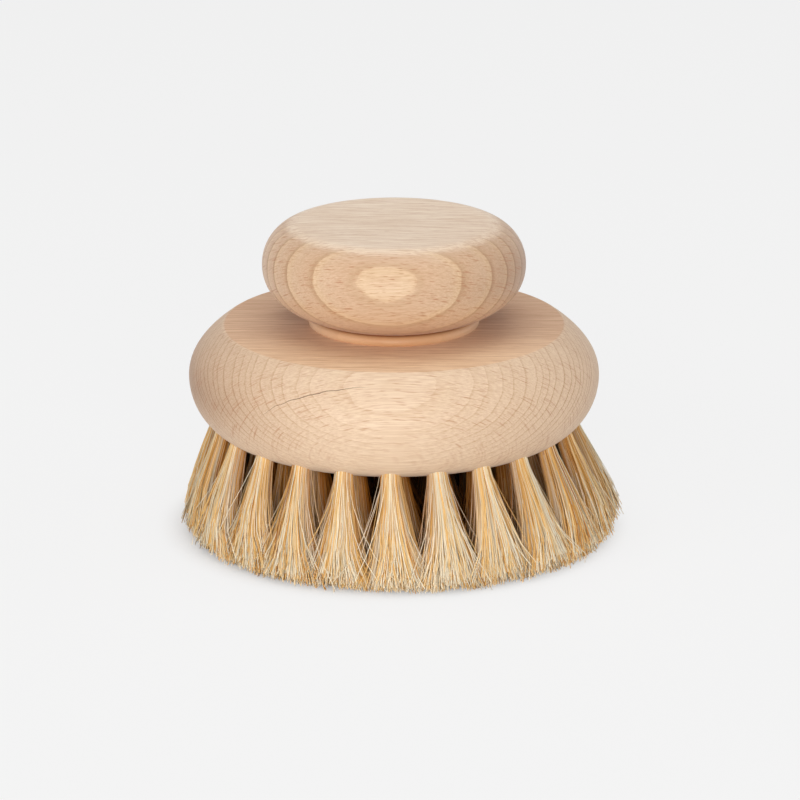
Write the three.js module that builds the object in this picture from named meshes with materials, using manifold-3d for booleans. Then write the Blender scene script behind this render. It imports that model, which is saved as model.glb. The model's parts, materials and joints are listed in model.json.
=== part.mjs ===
// Body brush: a turned beech block and palm knob joined by a dowel, with horsehair tufts set in blind holes.
// Units are millimetres. +Z points up, and the brush stands on its bristle tips at z = 0, centred on the Z axis.
import * as THREE from "three";
import { mergeVertices } from "three/addons/utils/BufferGeometryUtils.js";
import Module from "manifold-3d";

// Block: a thick round disc with a sloping shoulder, a rounded lower edge, a flat top and a flat underside
const STAND_HEIGHT = 26; // underside of the block above the bristle tips
const BLOCK_DIAMETER = 105;
const BLOCK_THICKNESS = 28;
const BLOCK_TOP_DIAMETER = 87;
const BLOCK_UNDERSIDE_DIAMETER = 78;
const BLOCK_SHOULDER_HEIGHT = 13.2; // widest line of the rim up to the top face
const BLOCK_SHOULDER_BULGE = 7; // how far up from the widest line the shoulder stays steep

// Knob: a flattened ball for the palm, standing on a low foot
const KNOB_DIAMETER = 67.2;
const KNOB_HEIGHT = 26.3;
const KNOB_TOP_DIAMETER = 47;
const KNOB_CROWN_HEIGHT = 10.6; // widest line of the knob up to its flat top
const KNOB_BELLY_BULGE = 9.4; // how far down from the widest line the belly stays steep
const NECK_DIAMETER = 42;
const FOOT_DIAMETER = 43.7;
const FOOT_HEIGHT = 3.2;
const GLUE_FILM = 0.1; // between the knob's foot and the block's top

// Dowel: a grooveless beech pin glued into a blind bore in each turned piece
const DOWEL_DIAMETER = 10;
const DOWEL_DEPTH_IN_BLOCK = 11;
const DOWEL_DEPTH_IN_KNOB = 14;
const DOWEL_CHAMFER = 1;
const DOWEL_END_ROOM = 0.5; // bore left empty past each end of the dowel

// Tuft holes: rings of blind holes, bored along each tuft's own axis
const TUFT_DIAMETER = 4.6;
const TUFT_DEPTH = 9; // doubled hair inside the block, from the hole's mouth to the fold
const FIT_GAP = 0.3; // between a tuft's root and its hole, and all round the pieces seated in the block
const RING_INSET = 7.7; // widest line of the block in to the outer ring of holes
const RING_PITCH = 11.2; // from one ring of holes to the next
const RING_LAND = 1.2; // wood left on each side of a ring of holes in the slice that carries it
const SLICE_THICKNESS = 2.5;
const FIRST_TUFT_DEGREES = -1.2; // turn of the outer ring's first tuft from the front, seen from above

// Strands: each stands for a lock of hair and fans out from the hole's mouth
const STRAND_WIDTH = 1.1; // side of its three-sided section
const STRAND_ROOT_SPREAD = 1.5; // off the tuft's axis at the hole's mouth
const STRAND_ROOT_DEPTH = 1.2; // start of the strand inside the slice
const TIP_TRIM = 0.5; // cut off the tips so that they stand flat

// Anchors: strips of flat wire that hold the folded hair at the end of each hole
const ANCHOR_WIDTH = 4;
const ANCHOR_HEIGHT = 2;
const ANCHOR_THICKNESS = 0.5;

// Rings of tufts from the outside in, the last one being the tuft at the centre. splay tilts the tufts outwards,
// and turn moves a ring round from the outer one, both in degrees.
// around and core count the strands round a tuft's axis and on it.
// The two fans are how far the strands end from the tuft's axis, across the ring and along it.
const RINGS = [
  { count: 24, turn: 0, splay: 15, around: 6, core: 1, fanOut: 3.4, fanAlong: 5.4 },
  { count: 20, turn: 2.3, splay: 8, around: 5, core: 0, fanOut: 4, fanAlong: 4.6 },
  { count: 12, turn: 0, splay: 4, around: 4, core: 0, fanOut: 4.2, fanAlong: 4.6 },
  { count: 6, turn: 0, splay: 0, around: 4, core: 0, fanOut: 3.8, fanAlong: 4.2 },
  { count: 1, turn: 0, splay: 0, around: 4, core: 0, fanOut: 3.6, fanAlong: 3.6 },
];

// Facets; a multiple of the tufts in a ring sets a flat facet behind each tuft
const LATHE_SEGMENTS = 48;
const CURVE_STEPS = 6;
const HOLE_SIDES = 6;
const OVERCUT = 1; // how far a cutting solid runs past the face that it opens

// Heights and radii that follow from the sizes above
const blockRadius = BLOCK_DIAMETER / 2;
const undersideRadius = BLOCK_UNDERSIDE_DIAMETER / 2;
const blockTop = STAND_HEIGHT + BLOCK_THICKNESS;
const rimHeight = blockTop - BLOCK_SHOULDER_HEIGHT;
const knobBottom = blockTop + GLUE_FILM;
const knobTop = knobBottom + KNOB_HEIGHT;
const boreRadius = DOWEL_DIAMETER / 2 + FIT_GAP;
const rootRadius = TUFT_DIAMETER / 2;
const holeRadius = rootRadius + FIT_GAP;
const anchorSpan = ANCHOR_HEIGHT + FIT_GAP;
const sliceHalfWidth = rootRadius + RING_LAND;
const firstTuft = THREE.MathUtils.degToRad(FIRST_TUFT_DEGREES);

const beech = new THREE.MeshStandardMaterial({ color: 0xdcbd98, roughness: 0.62, metalness: 0 });
const dowelBeech = new THREE.MeshStandardMaterial({ color: 0xe3c9a4, roughness: 0.7, metalness: 0 });
const horsehair = new THREE.MeshStandardMaterial({ color: 0xd8bd8a, roughness: 0.55, metalness: 0 });
const flatWire = new THREE.MeshStandardMaterial({ color: 0xb9b6ae, roughness: 0.35, metalness: 1 });

const wasm = await Module();
wasm.setup();

// A closed geometry as a solid that can be joined and cut
function solidOf(geometry) {
  const bare = geometry.clone();
  bare.deleteAttribute("normal");
  bare.deleteAttribute("uv");
  const merged = mergeVertices(bare);
  return new wasm.Manifold(
    new wasm.Mesh({
      numProp: 3,
      vertProperties: new Float32Array(merged.attributes.position.array),
      triVerts: new Uint32Array(merged.index.array),
    }),
  );
}

// A solid as a geometry with flat-shaded faces
function geometryOf(solid) {
  const mesh = solid.getMesh();
  const geometry = new THREE.BufferGeometry();
  geometry.setAttribute("position", new THREE.BufferAttribute(mesh.vertProperties, 3));
  geometry.setIndex(new THREE.BufferAttribute(mesh.triVerts, 1));
  geometry.computeVertexNormals();
  return geometry;
}

// A profile of [radius, height] pairs turned about the Z axis; it starts and ends on the axis or closes on itself
function turned(profile) {
  const points = profile.map(([radius, height]) => new THREE.Vector2(radius, height));
  const start = firstTuft + Math.PI / LATHE_SEGMENTS;
  return new THREE.LatheGeometry(points, LATHE_SEGMENTS, start).rotateX(Math.PI / 2);
}

// The points of a curve in the profile plane, without its first one, which the profile already holds
function curvePoints(curve) {
  return curve
    .getPoints(CURVE_STEPS)
    .slice(1)
    .map((point) => [point.x, point.y]);
}

// Lower edge of the block: a quarter of an ellipse from the widest line down to the flat underside
const edgeWidth = blockRadius - undersideRadius;
const edgeHeight = rimHeight - STAND_HEIGHT;
const lowerEdge = new THREE.EllipseCurve(undersideRadius, rimHeight, edgeWidth, edgeHeight, -Math.PI / 2, 0);

// Height of the block's underside at a distance from the axis
function undersideHeight(radius) {
  const across = Math.max(0, radius - undersideRadius) / edgeWidth;
  return rimHeight - edgeHeight * Math.sqrt(Math.max(0, 1 - across * across));
}

// A ring of wood, or a disc where it reaches the axis, between two heights over the underside.
// On the rounded edge its outside has one straight length as wide as the tufts, between two lands.
function undersideSlice(innerRadius, outerRadius, lowLift, highLift) {
  const rounded = outerRadius > undersideRadius && innerRadius > 0;
  const lands = rounded ? [innerRadius + RING_LAND, outerRadius - RING_LAND] : [];
  const profile = [
    ...[innerRadius, ...lands, outerRadius].map((radius) => [radius, undersideHeight(radius) + lowLift]),
    ...[outerRadius, innerRadius].map((radius) => [radius, undersideHeight(radius) + highLift]),
  ];
  if (innerRadius > 0) profile.push(profile[0]);
  return solidOf(turned(profile));
}

// Distance of a ring of holes from the brush's axis
function ringRadius(index) {
  return RINGS[index].count === 1 ? 0 : blockRadius - RING_INSET - index * RING_PITCH;
}

// The sets of tufts that share a slice of the block: the outer two rings by themselves, and the rest on a disc
const tuftSets = [
  { name: "outer", rings: [0], pinned: true },
  { name: "second", rings: [1], pinned: true },
  { name: "inner", rings: [2, 3, 4], pinned: false },
].map((set) => {
  const radius = ringRadius(set.rings[0]);
  return {
    ...set,
    innerEdge: set.rings.length > 1 ? 0 : radius - sliceHalfWidth,
    outerEdge: radius + sliceHalfWidth,
    tufts: set.rings.flatMap(tuftsOfRing),
  };
});

// A tuft's hole mouth and its directions: down its axis, outwards across the axis, and along the ring
function tuftAt(angle, radius, form) {
  const splay = THREE.MathUtils.degToRad(form.splay);
  const outward = new THREE.Vector3(Math.sin(angle), -Math.cos(angle), 0);
  const along = new THREE.Vector3(Math.cos(angle), Math.sin(angle), 0);
  const axis = new THREE.Vector3(0, 0, -Math.cos(splay)).addScaledVector(outward, Math.sin(splay));
  const across = new THREE.Vector3().crossVectors(axis, along);
  const mouth = outward.clone().multiplyScalar(radius).setZ(undersideHeight(radius));
  return { form, outward, along, axis, across, mouth };
}

function tuftsOfRing(index) {
  const ring = RINGS[index];
  const start = firstTuft + THREE.MathUtils.degToRad(ring.turn);
  const tufts = [];
  for (let i = 0; i < ring.count; i++) {
    tufts.push(tuftAt(start + (i * 2 * Math.PI) / ring.count, ringRadius(index), ring));
  }
  return tufts;
}

// The point on a tuft's axis at a depth inside the block, counted from the hole's mouth
function insideTuft(tuft, depth) {
  return tuft.mouth.clone().addScaledVector(tuft.axis, -depth);
}

// A prism along a tuft's axis between two depths inside the block
function tuftPrism(tuft, radius, fromDepth, toDepth) {
  const prism = new THREE.CylinderGeometry(radius, radius, toDepth - fromDepth, HOLE_SIDES);
  const basis = new THREE.Matrix4().makeBasis(tuft.across, tuft.axis.clone().negate(), tuft.along.clone().negate());
  basis.setPosition(insideTuft(tuft, (fromDepth + toDepth) / 2));
  return solidOf(prism.applyMatrix4(basis));
}

// One strand from inside the slice to past the tip plane; cosTurn and sinTurn place it round the tuft's axis
function strand(tuft, cosTurn, sinTurn) {
  const root = insideTuft(tuft, STRAND_ROOT_DEPTH)
    .addScaledVector(tuft.across, STRAND_ROOT_SPREAD * cosTurn)
    .addScaledVector(tuft.along, STRAND_ROOT_SPREAD * sinTurn);
  const drop = (tuft.mouth.z + TIP_TRIM + OVERCUT / 2) / -tuft.axis.z;
  const tip = insideTuft(tuft, -drop)
    .addScaledVector(tuft.outward, tuft.form.fanOut * cosTurn)
    .addScaledVector(tuft.along, tuft.form.fanAlong * sinTurn);
  const reach = STRAND_WIDTH / Math.sqrt(3);
  const section = new THREE.Shape();
  for (const corner of [0, 1, 2]) {
    const turn = (corner * 2 * Math.PI) / 3;
    const place = corner === 0 ? "moveTo" : "lineTo";
    section[place](reach * Math.cos(turn), reach * Math.sin(turn));
  }
  const path = new THREE.LineCurve3(root, tip);
  return solidOf(new THREE.ExtrudeGeometry(section, { steps: 1, extrudePath: path }));
}

function strandsOf(tuft) {
  const strands = [];
  for (let i = 0; i < tuft.form.core; i++) strands.push(strand(tuft, 0, 0));
  for (let i = 0; i < tuft.form.around; i++) {
    const turn = ((i + 0.5) * 2 * Math.PI) / tuft.form.around;
    strands.push(strand(tuft, Math.cos(turn), Math.sin(turn)));
  }
  return strands;
}

// How deep the tuft roots of a set reach: where no separate anchor is made, the root runs on in its place
function rootDepth(set) {
  return set.pinned ? TUFT_DEPTH : TUFT_DEPTH + anchorSpan;
}

// A set of tufts: strands and folded roots joined to the slice of the block that they are set in
function tuftsOnSlice(set) {
  let solid = undersideSlice(set.innerEdge, set.outerEdge, 0, SLICE_THICKNESS);
  for (const tuft of set.tufts) {
    solid = solid.add(tuftPrism(tuft, rootRadius, STRAND_ROOT_DEPTH, rootDepth(set)));
    for (const hair of strandsOf(tuft)) solid = solid.add(hair);
  }
  const belowTips = new THREE.BoxGeometry(2 * BLOCK_DIAMETER, 2 * BLOCK_DIAMETER, STAND_HEIGHT);
  return solid.subtract(solidOf(belowTips.translate(0, 0, -STAND_HEIGHT / 2)));
}

// The block: the turned disc, less the dowel's bore, a groove for each slice and a blind hole for each tuft
function block() {
  const boreEnd = blockTop - DOWEL_DEPTH_IN_BLOCK;
  const shoulder = new THREE.QuadraticBezierCurve(
    new THREE.Vector2(blockRadius, rimHeight),
    new THREE.Vector2(blockRadius, rimHeight + BLOCK_SHOULDER_BULGE),
    new THREE.Vector2(BLOCK_TOP_DIAMETER / 2, blockTop),
  );
  const profile = [
    [0, STAND_HEIGHT],
    [undersideRadius, STAND_HEIGHT],
    ...curvePoints(lowerEdge),
    ...curvePoints(shoulder),
    [boreRadius, blockTop],
    [boreRadius, boreEnd],
    [0, boreEnd],
  ];
  let solid = solidOf(turned(profile));
  for (const set of tuftSets) {
    const innerEdge = Math.max(0, set.innerEdge - FIT_GAP);
    solid = solid.subtract(
      undersideSlice(innerEdge, set.outerEdge + FIT_GAP, -OVERCUT, SLICE_THICKNESS + FIT_GAP),
    );
    const holeEnd = TUFT_DEPTH + anchorSpan + FIT_GAP;
    for (const tuft of set.tufts) {
      solid = solid.subtract(tuftPrism(tuft, holeRadius, SLICE_THICKNESS / 2, holeEnd));
    }
  }
  return solid;
}

// The knob: foot, neck, belly, crown and flat top in one turning, with the dowel's bore up its middle
function knob() {
  const boreEnd = knobBottom + DOWEL_DEPTH_IN_KNOB;
  const neckHeight = knobBottom + FOOT_HEIGHT;
  const widest = knobTop - KNOB_CROWN_HEIGHT;
  const knobRadius = KNOB_DIAMETER / 2;
  const topRadius = KNOB_TOP_DIAMETER / 2;
  const belly = new THREE.QuadraticBezierCurve(
    new THREE.Vector2(NECK_DIAMETER / 2, neckHeight),
    new THREE.Vector2(knobRadius, widest - KNOB_BELLY_BULGE),
    new THREE.Vector2(knobRadius, widest),
  );
  const crownWidth = knobRadius - topRadius;
  const crown = new THREE.EllipseCurve(topRadius, widest, crownWidth, KNOB_CROWN_HEIGHT, 0, Math.PI / 2);
  return solidOf(
    turned([
      [0, boreEnd],
      [boreRadius, boreEnd],
      [boreRadius, knobBottom],
      [FOOT_DIAMETER / 2, knobBottom],
      [NECK_DIAMETER / 2, neckHeight],
      ...curvePoints(belly),
      ...curvePoints(crown),
      [0, knobTop],
    ]),
  );
}

function dowel() {
  const low = blockTop - DOWEL_DEPTH_IN_BLOCK + DOWEL_END_ROOM;
  const high = knobBottom + DOWEL_DEPTH_IN_KNOB - DOWEL_END_ROOM;
  const radius = DOWEL_DIAMETER / 2;
  return solidOf(
    turned([
      [0, low],
      [radius - DOWEL_CHAMFER, low],
      [radius, low + DOWEL_CHAMFER],
      [radius, high - DOWEL_CHAMFER],
      [radius - DOWEL_CHAMFER, high],
      [0, high],
    ]),
  );
}

function named(name, geometry, material) {
  const mesh = new THREE.Mesh(geometry, material);
  mesh.name = name;
  return mesh;
}

// An anchor lies across the end of its hole, just past the fold of the hair
function anchor(name, tuft) {
  const strip = new THREE.BoxGeometry(ANCHOR_WIDTH, ANCHOR_THICKNESS, ANCHOR_HEIGHT);
  const mesh = named(name, strip, flatWire);
  const up = tuft.axis.clone().negate();
  const basis = new THREE.Matrix4().makeBasis(tuft.along, new THREE.Vector3().crossVectors(up, tuft.along), up);
  mesh.quaternion.setFromRotationMatrix(basis);
  mesh.position.copy(insideTuft(tuft, TUFT_DEPTH + FIT_GAP + ANCHOR_HEIGHT / 2));
  return mesh;
}

const brush = new THREE.Group();
brush.add(named("brush_block", geometryOf(block()), beech));
brush.add(named("knob", geometryOf(knob()), beech));
brush.add(named("knob_dowel", geometryOf(dowel()), dowelBeech));
for (const set of tuftSets) {
  const group = new THREE.Group();
  group.add(named(`${set.name}_tufts`, geometryOf(tuftsOnSlice(set)), horsehair));
  if (set.pinned) {
    set.tufts.forEach((tuft, index) => {
      group.add(anchor(`${set.name}_anchor_${String(index + 1).padStart(2, "0")}`, tuft));
    });
  }
  brush.add(group);
}

export default brush;
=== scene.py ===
# Round body brush: turned beech block and palm knob, with tufts of blond horsehair
import json
import math
import random

import bpy
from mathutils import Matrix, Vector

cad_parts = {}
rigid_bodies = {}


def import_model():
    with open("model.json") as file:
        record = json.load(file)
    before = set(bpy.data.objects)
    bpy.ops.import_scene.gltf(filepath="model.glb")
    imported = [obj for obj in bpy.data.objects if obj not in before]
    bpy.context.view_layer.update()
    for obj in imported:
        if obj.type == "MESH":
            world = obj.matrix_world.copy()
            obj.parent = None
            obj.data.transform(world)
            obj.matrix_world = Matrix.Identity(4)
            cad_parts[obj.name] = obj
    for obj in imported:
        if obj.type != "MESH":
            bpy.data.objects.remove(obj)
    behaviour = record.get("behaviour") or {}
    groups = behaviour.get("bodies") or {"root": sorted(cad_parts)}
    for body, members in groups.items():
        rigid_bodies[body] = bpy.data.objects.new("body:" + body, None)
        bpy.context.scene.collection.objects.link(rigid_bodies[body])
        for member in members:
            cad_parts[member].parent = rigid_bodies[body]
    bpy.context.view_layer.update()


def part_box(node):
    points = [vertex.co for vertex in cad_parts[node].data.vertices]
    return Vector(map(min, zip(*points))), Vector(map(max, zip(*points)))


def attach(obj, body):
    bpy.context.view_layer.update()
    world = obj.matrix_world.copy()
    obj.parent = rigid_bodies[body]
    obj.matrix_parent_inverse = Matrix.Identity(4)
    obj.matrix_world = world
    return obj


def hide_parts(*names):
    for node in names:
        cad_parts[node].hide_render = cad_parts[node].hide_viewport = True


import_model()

# The block is one thick disc of beech, turned with its grain lying flat, along X.
# Its shoulder slopes up to a crisp edge round the flat top, and its lower edge is rounded over.
# Blind holes for the tufts are bored into the underside, the outer ring splayed through the rounded edge.
MM = 0.001
block_low, block_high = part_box("brush_block")
block_top = block_high[2]
underside = block_low[2]
block_radius = 52.5 * MM
block_top_radius = 43.5 * MM
underside_radius = 39 * MM
rim_height = block_top - 13.2 * MM
shoulder_bulge = 7 * MM
edge_round = 0.5 * MM
round_faces = 144


def quarter_ellipse(centre, across, up, start, end, steps):
    """Points of an ellipse in the plane of radius and height, from one angle in degrees to another."""
    points = []
    for i in range(steps + 1):
        angle = math.radians(start + (end - start) * i / steps)
        points.append((centre[0] + across * math.cos(angle), centre[1] + up * math.sin(angle)))
    return points


def bent_line(first, middle, last, steps):
    """Points of a curve that leaves first towards middle and reaches last from middle."""
    points = []
    for i in range(steps + 1):
        t = i / steps
        weights = ((1 - t) ** 2, 2 * t * (1 - t), t * t)
        corners = (first, middle, last)
        points.append(tuple(sum(w * c[k] for w, c in zip(weights, corners)) for k in (0, 1)))
    return points


def turned(name, profile, segments):
    """A closed solid of revolution; the profile runs from the axis at the bottom to the axis at the top."""
    vertices = [(0, 0, profile[0][1])]
    for radius, height in profile[1:-1]:
        for i in range(segments):
            angle = 2 * math.pi * i / segments
            vertices.append((radius * math.sin(angle), -radius * math.cos(angle), height))
    vertices.append((0, 0, profile[-1][1]))
    faces = []
    last = len(vertices) - 1
    rows = len(profile) - 2
    for i in range(segments):
        j = (i + 1) % segments
        faces.append((0, 1 + j, 1 + i))
        for row in range(rows - 1):
            low = 1 + row * segments
            high = low + segments
            faces.append((low + i, low + j, high + j, high + i))
        faces.append((1 + (rows - 1) * segments + i, 1 + (rows - 1) * segments + j, last))
    mesh = bpy.data.meshes.new(name)
    mesh.from_pydata(vertices, [], faces)
    mesh.update()
    piece = bpy.data.objects.new(name, mesh)
    bpy.context.collection.objects.link(piece)
    return piece


def add(tree, kind, inputs=None, **settings):
    """A node with its settings; each input is a value, or the socket or node that it is linked from."""
    node = tree.nodes.new(kind)
    for key, value in settings.items():
        setattr(node, key, value)
    for key, value in (inputs or {}).items():
        if isinstance(key, str):
            socket = next(s for s in node.inputs if s.name == key and s.enabled)
        else:
            socket = node.inputs[key]
        if isinstance(value, bpy.types.Node):
            value = next(s for s in value.outputs if s.enabled)
        if isinstance(value, bpy.types.NodeSocket):
            tree.links.new(value, socket)
        else:
            socket.default_value = value
    return node


def shape_tree(name, inputs):
    """An empty Geometry Nodes tree with named inputs, each (name, kind, default), and its two ends."""
    tree = bpy.data.node_groups.new(name, "GeometryNodeTree")
    tree.interface.new_socket("Geometry", in_out="OUTPUT", socket_type="NodeSocketGeometry")
    tree.interface.new_socket("Geometry", in_out="INPUT", socket_type="NodeSocketGeometry")
    for label, kind, default in inputs:
        socket = tree.interface.new_socket(label, in_out="INPUT", socket_type=kind)
        if default is not None:
            socket.default_value = default
    return tree, tree.nodes.new("NodeGroupInput"), tree.nodes.new("NodeGroupOutput")


def shaped_by(piece, tree, values):
    """Adds the tree to a piece as a modifier with these named values."""
    modifier = piece.modifiers.new(tree.name, "NODES")
    modifier.node_group = tree
    for item in tree.interface.items_tree:
        if item.in_out == "INPUT" and item.name in values:
            modifier[item.identifier] = values[item.name]


def made_plain(piece):
    """Turns what a piece's modifiers make into its own plain mesh."""
    bpy.context.view_layer.update()
    graph = bpy.context.evaluated_depsgraph_get()
    mesh = bpy.data.meshes.new_from_object(piece.evaluated_get(graph), depsgraph=graph)
    piece.modifiers.clear()
    piece.data = mesh
    mesh.name = piece.name


def soft_edges(piece, degrees):
    """Smooth shading that breaks only at edges sharper than this."""
    piece.data.polygons.foreach_set("use_smooth", [True] * len(piece.data.polygons))
    piece.data.set_sharp_from_angle(angle=math.radians(degrees))


def linear(code):
    """An sRGB hex colour as linear red, green, blue and alpha."""
    values = []
    for i in (1, 3, 5):
        c = int(code[i:i + 2], 16) / 255
        values.append(c / 12.92 if c <= 0.04045 else ((c + 0.055) / 1.055) ** 2.4)
    return (*values, 1.0)


def blend_stops(ramp, stops):
    """Sets a colour ramp's stops, each a place and a hex colour."""
    elements = ramp.color_ramp.elements
    while len(elements) > len(stops):
        elements.remove(elements[-1])
    while len(elements) < len(stops):
        elements.new(1.0)
    for element, (place, code) in zip(elements, stops):
        element.position = place
        element.color = linear(code)


shoulder = bent_line(
    (block_radius, rim_height),
    (block_radius, rim_height + shoulder_bulge),
    (block_top_radius, block_top),
    steps=24,
)
slope = math.atan2(shoulder[-1][1] - shoulder[-2][1], shoulder[-1][0] - shoulder[-2][0])
# The flat parts have a few rows more, so that their faces are no long slivers
block_profile = [(0, underside), (20 * MM, underside), (34 * MM, underside)]
block_profile += quarter_ellipse(
    (underside_radius, rim_height),
    across=block_radius - underside_radius,
    up=rim_height - underside,
    start=-90,
    end=0,
    steps=26,
)
block_profile += shoulder[1:-1]
# The edge round the flat top is rounded over a little
block_profile += [
    (block_top_radius - edge_round * math.cos(slope), block_top - edge_round * math.sin(slope)),
    (block_top_radius - 0.3 * edge_round, block_top - 0.1 * edge_round),
    (block_top_radius - edge_round, block_top),
]
block_profile += [(30 * MM, block_top), (15 * MM, block_top), (0, block_top)]
block = turned("turned_block", block_profile, round_faces)

# Tuft holes, ring by ring from the outside in: tufts in the ring, turn of its first tuft from the front
# in degrees, distance from the axis, and splay in degrees
tuft_diameter = 4.6 * MM
hole_clearance = 0.1 * MM
hole_depth = 11.6 * MM
ring_pitch = 11.2 * MM
outer_ring = block_radius - 7.7 * MM
rings = [
    (24, -1.2, outer_ring, 15),
    (20, 1.1, outer_ring - ring_pitch, 8),
    (12, -1.2, outer_ring - 2 * ring_pitch, 4),
    (6, -1.2, outer_ring - 3 * ring_pitch, 0),
    (1, -1.2, 0.0, 0),
]


def mouth_height(radius):
    """Height of the block's underside at a distance from the axis."""
    across = max(0.0, radius - underside_radius) / (block_radius - underside_radius)
    return rim_height - (rim_height - underside) * math.sqrt(1 - across * across)


holes, given, made = shape_tree("Tuft holes", [
    ("Tufts", "NodeSocketInt", 24),
    ("Ring radius", "NodeSocketFloat", 0.046),
    ("Mouth height", "NodeSocketFloat", 0.026),
    ("Splay", "NodeSocketFloat", 0.0),
    ("First turn", "NodeSocketFloat", 0.0),
    ("Hole radius", "NodeSocketFloat", 0.0024),
    ("Hole depth", "NodeSocketFloat", 0.012),
])
number = add(holes, "GeometryNodeInputIndex")
pitch = add(holes, "ShaderNodeMath", {0: 2 * math.pi, 1: given.outputs["Tufts"]}, operation="DIVIDE")
turn = add(holes, "ShaderNodeMath", {
    0: number, 1: pitch, 2: given.outputs["First turn"],
}, operation="MULTIPLY_ADD")
inward = add(holes, "ShaderNodeMath", {0: given.outputs["Ring radius"], 1: -1.0}, operation="MULTIPLY")
front = add(holes, "ShaderNodeCombineXYZ", {"Y": inward, "Z": given.outputs["Mouth height"]})
place = add(holes, "ShaderNodeVectorRotate", {"Vector": front, "Angle": turn}, rotation_type="Z_AXIS")
mouths = add(holes, "GeometryNodePoints", {"Count": given.outputs["Tufts"], "Position": place})
lean = add(holes, "ShaderNodeMath", {0: given.outputs["Splay"], 1: -1.0}, operation="MULTIPLY")
aim = add(holes, "ShaderNodeCombineXYZ", {"X": lean, "Z": turn})
length = add(holes, "ShaderNodeMath", {0: given.outputs["Hole depth"], 1: 2.0}, operation="MULTIPLY")
drill = add(holes, "GeometryNodeMeshCylinder", {
    "Vertices": 20, "Radius": given.outputs["Hole radius"], "Depth": length,
})
drills = add(holes, "GeometryNodeInstanceOnPoints", {
    "Points": mouths, "Instance": drill.outputs["Mesh"], "Rotation": aim,
})
solid_drills = add(holes, "GeometryNodeRealizeInstances", {"Geometry": drills})
bored = add(holes, "GeometryNodeMeshBoolean", {
    "Mesh 1": given.outputs["Geometry"], "Mesh 2": solid_drills,
}, operation="DIFFERENCE", solver="EXACT")
holes.links.new(bored.outputs["Mesh"], made.inputs["Geometry"])
for count, first_turn, radius, splay in rings:
    shaped_by(block, holes, {
        "Tufts": count,
        "Ring radius": radius,
        "Mouth height": mouth_height(radius),
        "Splay": math.radians(splay),
        "First turn": math.radians(first_turn),
        "Hole radius": tuft_diameter / 2 + hole_clearance,
        "Hole depth": hole_depth,
    })
made_plain(block)
soft_edges(block, degrees=24)


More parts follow.
